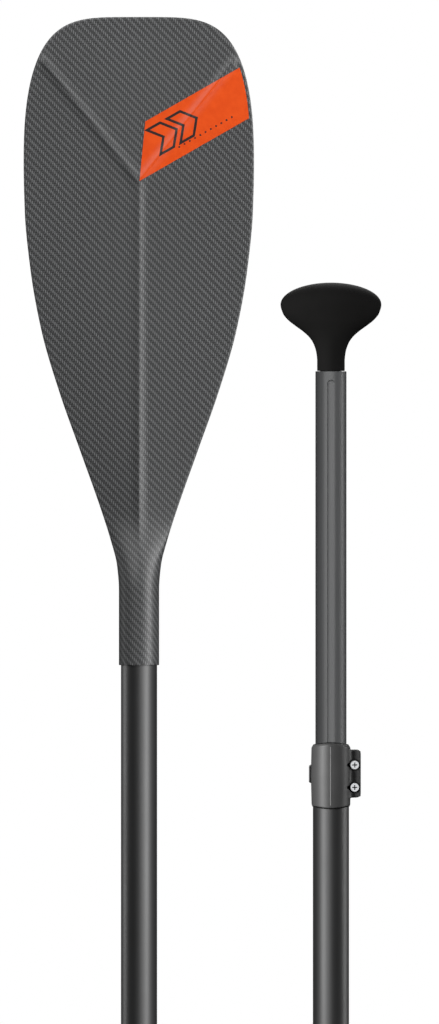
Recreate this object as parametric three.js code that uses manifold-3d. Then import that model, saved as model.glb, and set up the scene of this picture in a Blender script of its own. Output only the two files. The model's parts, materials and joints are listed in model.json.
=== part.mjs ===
// A take-apart, adjustable single blade paddle: its blade section and its handle section,
// upright and side by side. Millimetres, +Z up along both shafts, +X to the right, and the
// ribbed face of the blade towards -Y. The origin is the centre of the socket mouth, the
// lower end of the handle section.

import * as THREE from "three";
import { mergeVertices } from "three/addons/utils/BufferGeometryUtils.js";
import Module from "manifold-3d";

const wasm = await Module();
wasm.setup();

// Driving dimensions. Radii are named radius or r, and heights are above the origin.

const GAP = 0.3; // between pieces that rest on or in each other
const PLAY = 0.4; // round the screws
const ROUND = 36; // facets round a tube

const SHAFT = { outer: 15.0, inner: 13.7 };
const BLADE_AXIS_X = -159.3;

const BLADE = {
  tip: 1092, // height of the upper edge
  halfWidth: 95.35,
  widest: 122, // below the tip, as are the next four
  junction: 135.6, // where the three ribs meet
  railEnd: 410,
  neck: 474, // where the round socket starts
  socketEnd: 536.5,
  socketRadius: 16.7,
  edge: 2.1, // half the thickness at the edge
  skin: 1.0,
  rail: 4.0, // width of the edge strip
  rake: THREE.MathUtils.degToRad(8),
  rakeRadius: 90,
};
// Half the blade's width below its widest place: [distance below the tip, half width].
const BLADE_TAPER = [
  [122, 95.35], [160, 94.5], [209, 89.8], [259, 80.8], [309, 66.3], [358, 49],
  [408, 31.3], [433, 23.4], [454, 18.2], [474, 16.7], [540, 16.7],
];
const TIP_ALONG = 2.5; // powers of the superellipse above the blade's widest place
const TIP_ACROSS = 4.35;
const CROWN_RUN = 120; // how far above the junction the top face comes down to the edge
// How far the ridge stands above the edge, on the front and on the back.
const FRONT_CROWN = [[0, 2.2], [135, 2.5], [360, 6], [540, 6]];
const BACK_CROWN = [[0, 0.6], [135, 1.2], [360, 4], [540, 4]];

const FERRULE = { outer: 13.35, inner: 11.5, free: 65, glued: 60 };
const STOP_RING_HEIGHT = 4;
const BUTTON = {
  height: 30, radius: 3.2, tip: 17.3, dome: 1.4, shoulder: 10.2, flange: 4.5, play: 0.3,
};
const SPRING = { thickness: 0.8, width: 7, bend: 62, bendRadius: 3, foot: 24, wallGap: 1.2 };

const LOWER_PLUG = { bottom: 135, top: 175 };
const UPPER_PLUG = { above: 5, length: 40 }; // above the inner tube's lower end
const INNER_TUBE = { outer: 12.9, inner: 11.1, bottom: 340, top: 799.4 };
const FLUTE = { width: 6.3, depth: 1.0, top: 792.2 };
const OUTER_SHAFT_TOP = 484;
const GUIDE = { bottom: 441, play: 0.2, flange: 1.4, keyHalfWidth: 2.75 };
const GLIDE = { below: 1.8, above: 20 }; // the inner tube's lower end
const COLLAR = {
  bottom: 437, top: 491, bore: 15.3, lip: 13.3, lipThickness: 4.2,
  endRadius: 16.2, midRadius: 16.7, bow: 2.4,
};
const SLIT_BOTTOM = 446; // of the slit in the outer shaft that lets the clamp close it
const EAR = {
  bottom: 444.8, top: 485.5, right: 24.8, left: 5, front: 3.5, rear: 5.5, halfSlit: 1, recess: 0.8,
  corner: 3.5, slant: 1.0,
};
const SCREW = { x: 19.75, heights: [472.7, 454.1], head: 4.05, shank: 2.0, headHeight: 2.4, end: 15 };
const PIVOT = { x: 19.75, y: 12.6, middle: 465.2 };
const NUT = { radius: 3.0, length: 36 };
const CAM = { radius: 5.0, eccentric: 0.4, length: 38 };
const PAD = { left: 15.6, right: 24.2, thickness: 2.6, halfHeight: 18 };
const LEVER = { open: 120, inner: 17.1, tabHeight: 13.5, from: 36, to: 181 };

const GRIP = {
  top: 873, halfWidth: 41.85, halfDepth: 15.5, crown: 18.2, wall: 2.0, neck: 11.48,
  stem: 44, coreGap: 0.5, facets: 24,
};
// Half the grip's width and half its depth below its widest place, by distance below its top.
const GRIP_WIDTH = [
  [18.2, 41.85], [25.6, 39.9], [30.6, 36.1], [35.6, 30], [40.6, 23.1], [45.6, 17.8],
  [50.5, 14.6], [58, 12.2], [65, 11.48], [80, 11.48],
];
const GRIP_DEPTH = [
  [18.2, 15.5], [30.6, 14.6], [40.6, 12.6], [50.5, 11.7], [58, 11.48], [80, 11.48],
];

// Colours and finishes

const finish = (color, roughness, metalness = 0) =>
  new THREE.MeshStandardMaterial({ color, roughness, metalness });
const WEAVE = finish("#47484b", 0.45, 0.1);
const GLOSS_TUBE = finish("#2c2d30", 0.25, 0.1);
const SATIN_TUBE = finish("#5b5c60", 0.45, 0.2);
const FOAM = finish("#d8d6cc", 0.9);
const DARK_PLASTIC = finish("#3c3d40", 0.5);
const BLACK_PLASTIC = finish("#232122", 0.7);
const STEEL = finish("#d2d3d5", 0.3, 0.9);
const BRASS = finish("#b8a15c", 0.4, 0.9);

// Curves

// A smooth curve through points of rising x, with no overshoot between them.
function smoothCurve(points) {
  const secant = (i) => (points[i + 1][1] - points[i][1]) / (points[i + 1][0] - points[i][0]);
  const slope = points.map((_, i) => {
    if (i === 0 || i === points.length - 1) return 0;
    const before = secant(i - 1);
    const after = secant(i);
    return before * after <= 0 ? 0 : (2 * before * after) / (before + after);
  });
  return (x) => {
    const next = Math.max(1, points.findIndex(([at], i) => i > 0 && at >= x));
    const [x0, y0] = points[next - 1];
    const [x1, y1] = points[next];
    const run = x1 - x0;
    const t = THREE.MathUtils.clamp((x - x0) / run, 0, 1);
    const ease = t * t * (3 - 2 * t);
    const bulge = t * (1 - t) * run;
    return y0 + (y1 - y0) * ease + bulge * ((1 - t) * slope[next - 1] - t * slope[next]);
  };
}

const range = (count, from, to) =>
  Array.from({ length: count }, (_, i) => from + ((to - from) * i) / (count - 1));

// Solids

// A closed geometry with shared vertices merged and its faces pointing out.
function closed(geometry) {
  for (const name of Object.keys(geometry.attributes)) {
    if (name !== "position") {
      geometry.deleteAttribute(name);
    }
  }
  const merged = mergeVertices(geometry, 1e-4);
  const corner = [new THREE.Vector3(), new THREE.Vector3(), new THREE.Vector3()];
  const faces = [];
  let volume = 0;
  for (let i = 0; i < merged.index.count; i += 3) {
    const face = [0, 1, 2].map((k) => merged.index.getX(i + k));
    if (new Set(face).size === 3) {
      face.forEach((v, k) => corner[k].fromBufferAttribute(merged.attributes.position, v));
      volume += corner[0].dot(corner[1].cross(corner[2]));
      faces.push(face);
    }
  }
  merged.setIndex(faces.flatMap((face) => (volume < 0 ? face.reverse() : face)));
  return merged;
}

const toSolid = (geometry) => {
  const { index, attributes } = closed(geometry);
  const triVerts = Uint32Array.from(index.array);
  const vertProperties = attributes.position.array;
  return new wasm.Manifold(new wasm.Mesh({ numProp: 3, vertProperties, triVerts }));
};

function toGeometry(solid) {
  const { vertProperties, triVerts } = solid.getMesh();
  const geometry = new THREE.BufferGeometry();
  geometry.setAttribute("position", new THREE.BufferAttribute(vertProperties, 3));
  geometry.setIndex(Array.from(triVerts));
  return geometry;
}

// base with the geometries of add joined to it, and then those of cut taken away.
function carve(base, { add = [], cut = [] }) {
  let solid = toSolid(base);
  for (const geometry of add) {
    solid = solid.add(toSolid(geometry));
  }
  for (const geometry of cut) {
    solid = solid.subtract(toSolid(geometry));
  }
  return toGeometry(solid);
}

// A turned shape about Z, from [radius, height] points.
function turned(profile, facets = ROUND) {
  const points = profile.map(([r, z]) => new THREE.Vector2(r, z));
  return closed(new THREE.LatheGeometry(points, facets).rotateX(Math.PI / 2));
}

const tube = (inner, outer, bottom, top, facets) =>
  turned([[inner, bottom], [outer, bottom], [outer, top], [inner, top], [inner, bottom]], facets);

const rod = (radius, bottom, top, facets) =>
  turned([[0, bottom], [radius, bottom], [radius, top], [0, top]], facets);

// A rod along Y between two y values, at x and height z.
const crossRod = (radius, from, to, x, z, facets = 20) =>
  rod(radius, -to, -from, facets).rotateX(Math.PI / 2).translate(x, 0, z);

const block = (x0, x1, y0, y1, z0, z1) =>
  new THREE.BoxGeometry(x1 - x0, y1 - y0, z1 - z0)
    .translate((x0 + x1) / 2, (y0 + y1) / 2, (z0 + z1) / 2);

// A shape drawn in X and Z, with its thickness along Y from one y value to another.
const upright = (shape, from, to) =>
  new THREE.ExtrudeGeometry(shape, { depth: to - from, bevelEnabled: false, curveSegments: 8 })
    .rotateX(Math.PI / 2)
    .translate(0, to, 0);

function fromFaces(points, faces) {
  const geometry = new THREE.BufferGeometry();
  geometry.setAttribute("position", new THREE.Float32BufferAttribute(points.flat(), 3));
  geometry.setIndex(faces.flat());
  return closed(geometry);
}

// The solid between two grids of points that have the same rows and columns.
function slab(outer, inner) {
  const rows = outer.length;
  const columns = outer[0].length;
  const half = rows * columns;
  const at = (i, j) => i * columns + j;
  const faces = [];
  const quad = (a, b, c, d) => faces.push([a, b, c], [a, c, d]);
  for (let i = 0; i < rows - 1; i += 1) {
    for (let j = 0; j < columns - 1; j += 1) {
      quad(at(i, j), at(i + 1, j), at(i + 1, j + 1), at(i, j + 1));
      quad(half + at(i, j), half + at(i, j + 1), half + at(i + 1, j + 1), half + at(i + 1, j));
    }
  }
  const rim = [];
  for (let j = 0; j < columns - 1; j += 1) {
    rim.push(at(0, j));
  }
  for (let i = 0; i < rows - 1; i += 1) {
    rim.push(at(i, columns - 1));
  }
  for (let j = columns - 1; j > 0; j -= 1) {
    rim.push(at(rows - 1, j));
  }
  for (let i = rows - 1; i > 0; i -= 1) {
    rim.push(at(i, 0));
  }
  rim.forEach((a, k) => {
    const b = rim[(k + 1) % rim.length];
    quad(a, b, half + b, half + a);
  });
  return fromFaces([...outer.flat(), ...inner.flat()], faces);
}

// The solid through a row of four-cornered sections.
function bar(sections) {
  const faces = [];
  for (let i = 0; i < sections.length - 1; i += 1) {
    for (let k = 0; k < 4; k += 1) {
      const a = 4 * i + k;
      const b = 4 * i + ((k + 1) % 4);
      faces.push([a, b, b + 4], [a, b + 4, a + 4]);
    }
  }
  const last = 4 * (sections.length - 1);
  faces.push([0, 2, 1], [0, 3, 2], [last, last + 1, last + 2], [last, last + 2, last + 3]);
  return fromFaces(sections.flat(), faces);
}

const parts = new THREE.Group();

function addPart(name, geometry, material, x = 0) {
  const mesh = new THREE.Mesh(geometry, material);
  mesh.name = name;
  mesh.position.x = x;
  parts.add(mesh);
}

// The blade. Its section goes from a thin roofed plate to the round socket, and its middle
// surface leans towards the front from the neck up.

const taper = smoothCurve(BLADE_TAPER);
const frontCrown = smoothCurve(FRONT_CROWN);
const backCrown = smoothCurve(BACK_CROWN);

// Points of the outline's right half from the tip down to a depth, as { x, depth }.
function outline(inset, last) {
  const { widest, halfWidth } = BLADE;
  const upper = [1.2, 5, 10, 18, 27, 38, 50, 62, 75, 90].map((degrees) => {
    const turn = THREE.MathUtils.degToRad(degrees);
    const along = degrees === 90 ? 0 : Math.cos(turn) ** (2 / TIP_ALONG);
    const across = Math.sin(turn) ** (2 / TIP_ACROSS);
    return { x: (halfWidth - inset) * across, depth: widest - (widest - inset) * along };
  });
  const lower = [150, 180, 210, 240, 270, 300, 325, 345, 365, 385, 400, 410, 420, 432, 446, 458, 468]
    .filter((depth) => depth < last)
    .concat(last)
    .map((depth) => ({ x: taper(depth) - inset, depth }));
  return [...upper, ...lower];
}

const roundness = (depth) => THREE.MathUtils.smoothstep(depth, BLADE.railEnd, BLADE.neck);

const lean = (depth) => {
  const above = Math.max(0, BLADE.neck - depth);
  const { rake, rakeRadius } = BLADE;
  return -Math.tan(rake) * (Math.hypot(above, rakeRadius) - rakeRadius);
};

// How far the plate's face stands from the middle surface.
function plate(x, depth, front) {
  const { junction, halfWidth, edge } = BLADE;
  if (!front) return edge + backCrown(depth) * (1 - (x / taper(depth)) ** 2);
  const reach = depth < junction ? halfWidth : taper(depth);
  const side = 1 - Math.abs(x) / reach;
  const top = 1 - (junction - depth) / CROWN_RUN;
  return edge + frontCrown(depth) * Math.max(0, Math.min(side, top));
}

// One face of the blade or of a layer sunk below it, as a grid of points. The widths come
// from the rows, and sunk is how far the layer lies under the outer face.
function face(rows, front, sunk) {
  const turns = range(15, -Math.PI / 2, Math.PI / 2);
  const { socketRadius, tip } = BLADE;
  return rows.map(({ x: reach, depth }) => {
    const round = roundness(depth);
    const layerReach = reach - round * sunk;
    return turns.map((turn) => {
      const x = layerReach * Math.sin(turn);
      const dome = (socketRadius - sunk) * Math.cos(turn);
      const stand = (1 - round) * (plate(x, depth, front) - sunk) + round * dome + GAP / 2;
      return [x, lean(depth) + (front ? -stand : stand), tip - depth];
    });
  });
}

function bladeShell(front) {
  const rows = outline(0, BLADE.socketEnd);
  rows.splice(-1, 0, { x: taper(BLADE.neck), depth: BLADE.neck });
  return slab(face(rows, front, 0), face(rows, front, BLADE.skin));
}

function bladeCore() {
  const sunk = BLADE.skin + GAP;
  const rows = outline(BLADE.rail + 2 * GAP, BLADE.neck - 6)
    .map(({ x, depth }) => ({ x: x + roundness(depth) * (BLADE.rail + 2 * GAP), depth }));
  return slab(face(rows, true, sunk), face(rows, false, sunk));
}

function bladeEdgeRail() {
  const outside = outline(0, BLADE.railEnd);
  const inside = outline(BLADE.rail, BLADE.railEnd);
  const halfThickness = BLADE.edge - BLADE.skin - GAP / 2;
  const corner = ({ x, depth }, side, y) => [side * x, lean(depth) + y, BLADE.tip - depth];
  const section = (i, side) => [
    corner(outside[i], side, -halfThickness),
    corner(outside[i], side, halfThickness),
    corner(inside[i], side, halfThickness),
    corner(inside[i], side, -halfThickness),
  ];
  const down = outside.map((_, i) => i);
  const up = [...down].reverse();
  return bar([...up.map((i) => section(i, -1)), ...down.map((i) => section(i, 1))]);
}

// The rest of the blade section: shaft, ferrule and spring button

const LOWER_SHAFT_BOTTOM = FERRULE.free + STOP_RING_HEIGHT + GAP;
const LOWER_SHAFT_TOP = BLADE.tip - BLADE.neck + 4;

const ferrule = () =>
  carve(tube(FERRULE.inner, FERRULE.outer, 0, FERRULE.free + FERRULE.glued), {
    cut: [crossRod(BUTTON.radius + BUTTON.play, -20, -5, 0, BUTTON.height)],
  });

function snapButton() {
  const { radius, tip, dome, shoulder, flange } = BUTTON;
  const foot = [[0, shoulder - 1], [flange, shoulder - 1], [flange, shoulder], [radius, shoulder]];
  const cap = range(5, 0, Math.PI / 2).map((turn) => [
    radius * Math.cos(turn), tip - dome + dome * Math.sin(turn),
  ]);
  return turned([...foot, ...cap.slice(0, -1), [0, tip]], 20)
    .rotateX(Math.PI / 2)
    .translate(0, 0, BUTTON.height);
}

// A leaf bent over at its top: one leg behind the button, the other on the ferrule's far wall.
function buttonSpring() {
  const { thickness, width, bend, bendRadius, foot, wallGap } = SPRING;
  const front = -(BUTTON.shoulder - 1 - GAP - thickness / 2);
  const rear = FERRULE.inner - wallGap;
  const over = range(7, Math.PI, 0).map((turn) => [
    bendRadius * Math.cos(turn), bend - bendRadius + bendRadius * Math.sin(turn),
  ]);
  const middle = [[front, foot], [front, BUTTON.height + 8], ...over, [rear, foot]];
  const sections = middle.map(([y, z], i) => {
    const [y0, z0] = middle[Math.max(0, i - 1)];
    const [y1, z1] = middle[Math.min(middle.length - 1, i + 1)];
    const across = thickness / 2 / Math.hypot(y1 - y0, z1 - z0);
    return [[-1, 1], [1, 1], [1, -1], [-1, -1]].map(([side, face]) => [
      (side * width) / 2, y - face * across * (z1 - z0), z + face * across * (y1 - y0),
    ]);
  });
  return bar(sections);
}

// The handle section's fixed pieces

const outerShaft = () =>
  carve(tube(SHAFT.inner, SHAFT.outer, 0, OUTER_SHAFT_TOP), {
    cut: [
      crossRod(BUTTON.radius + BUTTON.play, -20, -5, 0, FERRULE.free - BUTTON.height),
      block(-20, -5, -EAR.halfSlit, EAR.halfSlit, SLIT_BOTTOM, OUTER_SHAFT_TOP + 1),
    ],
  });

function guideBush() {
  const { bottom, play, flange, keyHalfWidth } = GUIDE;
  const [inner, outer] = [INNER_TUBE.outer + play, SHAFT.inner - play];
  const [rim, seat] = [SHAFT.outer - play, OUTER_SHAFT_TOP + GAP];
  const top = seat + flange;
  const sleeve = turned([
    [inner, bottom], [outer, bottom], [outer, seat], [rim, seat], [rim, top], [inner, top],
    [inner, bottom],
  ]);
  const keyBack = -INNER_TUBE.outer + FLUTE.depth - GAP;
  const key = block(-keyHalfWidth, keyHalfWidth, -outer + 0.5, keyBack, bottom + 2, top);
  return carve(sleeve, { add: [key] });
}

// The outline of an ear, drawn in X and Z, with rounded outer corners. Its lower edge rises
// outwards by the slant.
function earShape() {
  const { bottom, top, left, right, corner, slant } = EAR;
  return new THREE.Shape()
    .moveTo(left, bottom)
    .lineTo(right - corner, bottom + slant)
    .quadraticCurveTo(right, bottom + slant, right, bottom + slant + corner)
    .lineTo(right, top - corner)
    .quadraticCurveTo(right, top, right - corner, top)
    .lineTo(left, top);
}

// Moves the ends of a collar up and down so that they are higher in the middle of its front.
function bowEnds(geometry) {
  const { bottom, top, midRadius, bow } = COLLAR;
  const position = geometry.attributes.position;
  for (let i = 0; i < position.count; i += 1) {
    const up = ((position.getZ(i) - bottom) / (top - bottom)) * 2 - 1;
    const side = (position.getX(i) / midRadius) ** 2;
    position.setZ(i, position.getZ(i) - up * bow * side);
  }
  return geometry;
}

function clampCollar() {
  const { bottom, top, bore, lip, lipThickness, endRadius, midRadius } = COLLAR;
  const shoulder = 3;
  const body = bowEnds(turned([
    [lip - 1, bottom], [endRadius - 0.6, bottom], [endRadius, bottom + 1.2],
    [midRadius, (bottom + top) / 2],
    [endRadius, top - shoulder], [endRadius - 1, top - 0.8], [endRadius - 2, top],
    [lip - 1, top], [lip - 1, bottom],
  ]));
  const { front, rear, halfSlit, recess } = EAR;
  const outside = -midRadius;
  const recesses = SCREW.heights.flatMap((height) => {
    const teardrop = new THREE.Shape()
      .moveTo(SCREW.x - 7, height)
      .lineTo(SCREW.x - 2.2, height - 3.8)
      .lineTo(SCREW.x - 2.2, height + 3.8);
    return [
      crossRod(SCREW.head + PLAY, outside, -front + recess, SCREW.x, height),
      crossRod(SCREW.shank + PLAY, outside, rear + 3, SCREW.x, height),
      upright(teardrop, outside, -front + recess - PLAY),
    ];
  });
  return carve(body, {
    add: [upright(earShape(), -front, -halfSlit), upright(earShape(), halfSlit, rear)],
    cut: [
      rod(bore, bottom - 5, top - lipThickness),
      rod(lip, bottom - 5, top + 5),
      block(EAR.left, EAR.right + 5, -halfSlit, halfSlit, bottom - 5, top + 5),
      ...recesses,
    ],
  });
}

function clampScrew(height) {
  const { x, head, shank, headHeight, end } = SCREW;
  const seat = EAR.front - EAR.recess + GAP; // distance of the head's underside from the XZ plane
  return turned([
    [0, -end], [shank, -end], [shank, seat], [head, seat], [head, seat + headHeight - 0.9],
    [head - 0.9, seat + headHeight - 0.2], [0, seat + headHeight],
  ], 20).rotateX(Math.PI / 2).translate(x, 0, height);
}

// A rod standing on the lever's pivot line.
const pivotRod = (radius, length, y = PIVOT.y) =>
  rod(radius, PIVOT.middle - length / 2, PIVOT.middle + length / 2, 28).translate(PIVOT.x, y, 0);

const barrelNut = () =>
  carve(pivotRod(NUT.radius, NUT.length), {
    cut: SCREW.heights.map((height) =>
      crossRod(SCREW.shank + GAP, PIVOT.y - 8, PIVOT.y + 8, SCREW.x, height)),
  });

function camPad() {
  const { left, right, thickness, halfHeight } = PAD;
  const front = EAR.rear + GAP;
  const [bottom, top] = [PIVOT.middle - halfHeight, PIVOT.middle + halfHeight];
  return carve(block(left, right, front, front + thickness, bottom, top), {
    cut: [
      pivotRod(CAM.radius + GAP, 60, PIVOT.y - CAM.eccentric),
      ...SCREW.heights.map((height) => crossRod(SCREW.shank + PLAY, 0, PIVOT.y, SCREW.x, height)),
    ],
  });
}

// The lever: an eccentric barrel on the nut, and an arm that follows the collar's back and
// narrows to a finger tab.
function clampLever() {
  const { inner, tabHeight, from, to } = LEVER;
  const armHeight = smoothCurve([
    [from, CAM.length], [70, 34], [110, 25], [150, 16], [to, tabHeight],
  ]);
  const armThickness = smoothCurve([[from, 3.4], [110, 2.8], [150, 2.0], [to, 1.1]]);
  const arm = range(20, from, to).map((degrees) => {
    const turn = THREE.MathUtils.degToRad(degrees);
    const half = armHeight(degrees) / 2;
    const outer = inner + armThickness(degrees);
    return [[inner, -1], [outer, -1], [outer, 1], [inner, 1]].map(([radius, up]) => [
      radius * Math.cos(turn), radius * Math.sin(turn), PIVOT.middle + up * half,
    ]);
  });
  const barrel = pivotRod(CAM.radius, CAM.length, PIVOT.y - CAM.eccentric);
  return carve(barrel, {
    add: [bar(arm)],
    cut: [pivotRod(NUT.radius + GAP, 60), ...SCREW.heights.map(screwSlot)],
  });
}

// The slot that lets a screw stay where it is while the barrel turns round it.
function screwSlot(height) {
  const play = 48; // degrees that the screw needs on each side
  const reach = 8;
  const sector = new THREE.Shape().moveTo(0, 0);
  for (const degrees of range(14, -90 - play, -90 + LEVER.open + play)) {
    const turn = THREE.MathUtils.degToRad(degrees);
    sector.lineTo(reach * Math.cos(turn), reach * Math.sin(turn));
  }
  const high = 2 * SCREW.shank + 0.8;
  return new THREE.ExtrudeGeometry(sector, { depth: high, bevelEnabled: false })
    .translate(PIVOT.x, PIVOT.y, height - high / 2);
}

// The sliding pieces: inner tube and grip

function innerTube() {
  const { outer, inner, bottom, top } = INNER_TUBE;
  const half = FLUTE.width / 2;
  const flute = new THREE.Shape()
    .moveTo(-half, bottom - 5)
    .lineTo(half, bottom - 5)
    .lineTo(half, FLUTE.top - half)
    .absarc(0, FLUTE.top - half, half, 0, Math.PI);
  return carve(tube(inner, outer, bottom, top), {
    cut: [upright(flute, -outer - 5, -outer + FLUTE.depth)],
  });
}

function glideBush() {
  const { outer, inner, bottom } = INNER_TUBE;
  const [bush, sleeve] = [SHAFT.inner - GUIDE.play, outer + GUIDE.play];
  const [foot, top] = [bottom - GLIDE.below, bottom + GLIDE.above];
  return turned([
    [inner, foot], [bush, foot], [bush, top], [sleeve, top], [sleeve, bottom - GAP],
    [inner, bottom - GAP], [inner, foot],
  ]);
}

const gripWidth = smoothCurve(GRIP_WIDTH);
const gripDepth = smoothCurve(GRIP_DEPTH);

// [radius, height] points of the grip's side view, sunk below its surface, down to a depth.
function gripProfile(sunk, last) {
  const { top, halfWidth, crown } = GRIP;
  const cap = range(7, Math.PI / 2, 0).map((turn) => [
    turn === Math.PI / 2 ? 0 : (halfWidth - sunk) * Math.cos(turn),
    top - crown + (crown - sunk) * Math.sin(turn),
  ]);
  const sides = [24, 29, 34, 39, 44, 49, 55, 62, last]
    .map((depth) => [gripWidth(depth) - sunk, top - depth]);
  return [...cap, ...sides];
}

// Presses a turned grip flat, more at its wide end than at its neck.
function flatten(geometry) {
  const position = geometry.attributes.position;
  for (let i = 0; i < position.count; i += 1) {
    const depth = GRIP.top - position.getZ(i);
    const ratio = depth < GRIP.crown
      ? GRIP.halfDepth / GRIP.halfWidth
      : gripDepth(depth) / gripWidth(depth);
    position.setY(i, position.getY(i) * Math.min(1, ratio));
  }
  return geometry;
}

const NECK_END = GRIP.top - INNER_TUBE.top - GAP; // below the grip's top

function handleGrip() {
  const outside = gripProfile(0, NECK_END);
  const inside = gripProfile(GRIP.wall, NECK_END).reverse();
  return flatten(turned([...outside, ...inside], GRIP.facets));
}

function handleCore() {
  const stem = INNER_TUBE.inner - GAP;
  const seat = INNER_TUBE.top - 2 * GAP;
  const sunk = GRIP.wall + GRIP.coreGap;
  return flatten(turned([
    ...gripProfile(sunk, NECK_END), [GRIP.neck - sunk, seat],
    [stem, seat], [stem, seat - GRIP.stem], [0, seat - GRIP.stem],
  ], GRIP.facets));
}

// The whole paddle

const lowerShaft = () =>
  tube(SHAFT.inner, SHAFT.outer, LOWER_SHAFT_BOTTOM, LOWER_SHAFT_TOP);
const stopRing = () =>
  tube(FERRULE.outer + GAP, SHAFT.outer, FERRULE.free, FERRULE.free + STOP_RING_HEIGHT);
const lowerPlug = () => rod(SHAFT.inner - GAP, LOWER_PLUG.bottom, LOWER_PLUG.top);
const UPPER_PLUG_BOTTOM = INNER_TUBE.bottom + UPPER_PLUG.above;
const upperPlug = () =>
  rod(INNER_TUBE.inner - GAP, UPPER_PLUG_BOTTOM, UPPER_PLUG_BOTTOM + UPPER_PLUG.length);

addPart("blade_front_shell", bladeShell(true), WEAVE, BLADE_AXIS_X);
addPart("blade_back_shell", bladeShell(false), WEAVE, BLADE_AXIS_X);
addPart("blade_core", bladeCore(), FOAM, BLADE_AXIS_X);
addPart("blade_edge_rail", bladeEdgeRail(), BLACK_PLASTIC, BLADE_AXIS_X);
addPart("lower_shaft", lowerShaft(), GLOSS_TUBE, BLADE_AXIS_X);
addPart("lower_shaft_plug", lowerPlug(), FOAM, BLADE_AXIS_X);
addPart("ferrule", ferrule(), SATIN_TUBE, BLADE_AXIS_X);
addPart("stop_ring", stopRing(), BLACK_PLASTIC, BLADE_AXIS_X);
addPart("button_spring", buttonSpring(), STEEL, BLADE_AXIS_X);
addPart("snap_button", snapButton(), STEEL, BLADE_AXIS_X);

addPart("outer_shaft", outerShaft(), GLOSS_TUBE);
addPart("guide_bush", guideBush(), BLACK_PLASTIC);
addPart("clamp_collar", clampCollar(), DARK_PLASTIC);
addPart("clamp_screw_upper", clampScrew(SCREW.heights[0]), STEEL);
addPart("clamp_screw_lower", clampScrew(SCREW.heights[1]), STEEL);
addPart("barrel_nut", barrelNut(), BRASS);
addPart("cam_pad", camPad(), BLACK_PLASTIC);
addPart("clamp_lever", clampLever(), DARK_PLASTIC);

addPart("inner_tube", innerTube(), SATIN_TUBE);
addPart("glide_bush", glideBush(), BLACK_PLASTIC);
addPart("inner_tube_plug", upperPlug(), FOAM);
addPart("handle_core", handleCore(), BLACK_PLASTIC);
addPart("handle_grip", handleGrip(), BLACK_PLASTIC);

export default parts;
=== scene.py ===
# The looks of a take-apart single blade paddle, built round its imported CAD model.
# Shapes are worked out in millimetres and become metres when their mesh is made.
import json
import math

import bmesh
import bpy
import numpy as np
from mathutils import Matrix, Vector

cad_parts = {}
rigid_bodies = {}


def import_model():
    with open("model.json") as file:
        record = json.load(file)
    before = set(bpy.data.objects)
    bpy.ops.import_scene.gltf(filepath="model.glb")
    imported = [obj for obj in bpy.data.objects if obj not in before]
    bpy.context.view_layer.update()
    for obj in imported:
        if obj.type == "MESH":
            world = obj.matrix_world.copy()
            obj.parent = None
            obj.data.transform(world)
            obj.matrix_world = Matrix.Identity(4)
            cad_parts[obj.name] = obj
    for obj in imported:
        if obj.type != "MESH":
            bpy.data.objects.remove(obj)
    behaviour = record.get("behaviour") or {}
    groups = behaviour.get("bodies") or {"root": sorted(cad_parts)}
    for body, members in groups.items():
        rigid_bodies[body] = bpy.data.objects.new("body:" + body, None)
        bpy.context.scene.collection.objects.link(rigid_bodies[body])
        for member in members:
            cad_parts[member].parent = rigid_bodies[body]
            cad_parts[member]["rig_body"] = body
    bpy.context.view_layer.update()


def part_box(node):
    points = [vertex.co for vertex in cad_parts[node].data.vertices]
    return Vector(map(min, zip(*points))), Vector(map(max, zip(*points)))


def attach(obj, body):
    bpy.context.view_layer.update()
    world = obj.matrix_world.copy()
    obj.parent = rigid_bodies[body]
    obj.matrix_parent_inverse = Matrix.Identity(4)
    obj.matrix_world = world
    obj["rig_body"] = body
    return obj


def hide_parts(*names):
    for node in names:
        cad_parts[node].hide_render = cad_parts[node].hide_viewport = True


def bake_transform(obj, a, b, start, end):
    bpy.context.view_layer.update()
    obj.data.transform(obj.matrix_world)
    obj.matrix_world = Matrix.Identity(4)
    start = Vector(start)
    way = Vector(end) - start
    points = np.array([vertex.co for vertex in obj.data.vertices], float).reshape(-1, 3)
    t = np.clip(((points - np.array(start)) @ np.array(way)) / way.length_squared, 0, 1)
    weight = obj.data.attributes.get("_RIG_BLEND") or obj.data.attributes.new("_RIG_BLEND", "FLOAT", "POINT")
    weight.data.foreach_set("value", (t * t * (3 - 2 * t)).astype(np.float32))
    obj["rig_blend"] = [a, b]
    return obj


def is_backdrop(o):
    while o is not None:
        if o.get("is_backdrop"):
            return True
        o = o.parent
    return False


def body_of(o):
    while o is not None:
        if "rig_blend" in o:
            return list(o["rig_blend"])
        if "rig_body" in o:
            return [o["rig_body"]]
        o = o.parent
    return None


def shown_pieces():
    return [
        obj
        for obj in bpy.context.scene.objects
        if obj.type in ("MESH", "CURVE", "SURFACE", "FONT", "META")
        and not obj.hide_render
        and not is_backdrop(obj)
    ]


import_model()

MM = 0.001
GAP = 0.3


# ---- places, from the CAD nodes


def low(node):
    return np.array(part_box(node)[0]) / MM


def high(node):
    return np.array(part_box(node)[1]) / MM


def middle(node):
    return (low(node) + high(node)) / 2


def heights_of(node):
    return low(node)[2], high(node)[2]


BLADE_X = middle("lower_shaft")[0]
TIP = high("blade_front_shell")[2]
SHAFT_OUTER = high("outer_shaft")[0]
SHAFT_INNER = SHAFT_OUTER - 1.3

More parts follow.
